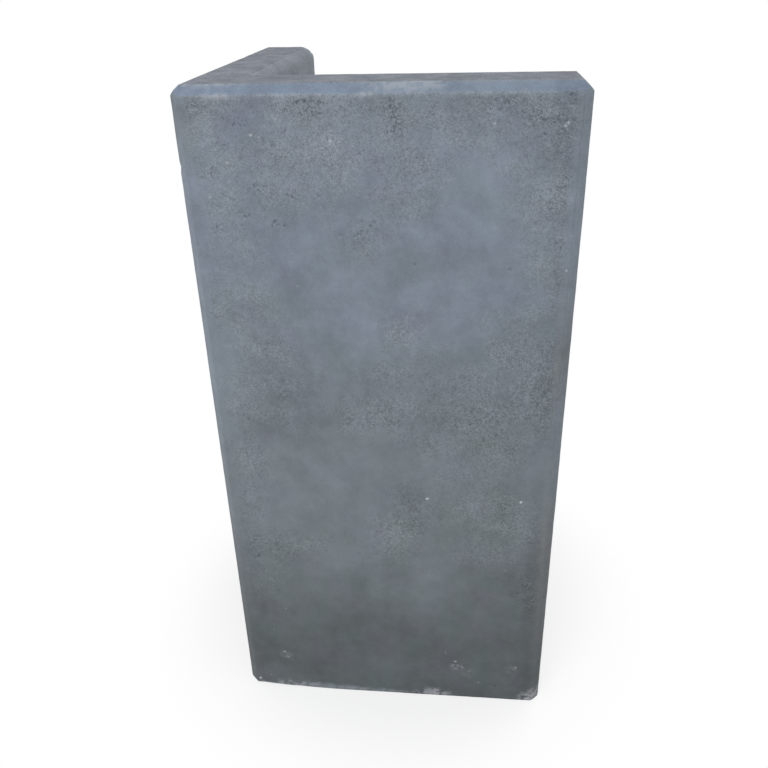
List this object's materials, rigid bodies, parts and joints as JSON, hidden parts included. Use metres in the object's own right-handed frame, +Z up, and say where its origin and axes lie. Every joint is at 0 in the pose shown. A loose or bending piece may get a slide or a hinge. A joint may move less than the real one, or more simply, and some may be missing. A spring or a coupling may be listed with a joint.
{
  "type": "l-shaped retaining wall element",
  "caption": "Precast concrete element with an L-shaped section, standing on end, with chamfered outer edges, for holding back earth along an edge or round a corner.",
  "frame": {"origin": "on the floor, under the middle of the square that encloses the L in plan", "axes": "+Z up along the element's length, -Y out of the front leg's outer face, -X out of the side leg's outer face"},
  "size_m": [0.4, 0.4, 0.8],
  "materials": {
    "concrete": "matte"
  },
  "bodies": {
    "root": {"wall_element": "concrete"}
  },
  "joints": []
}
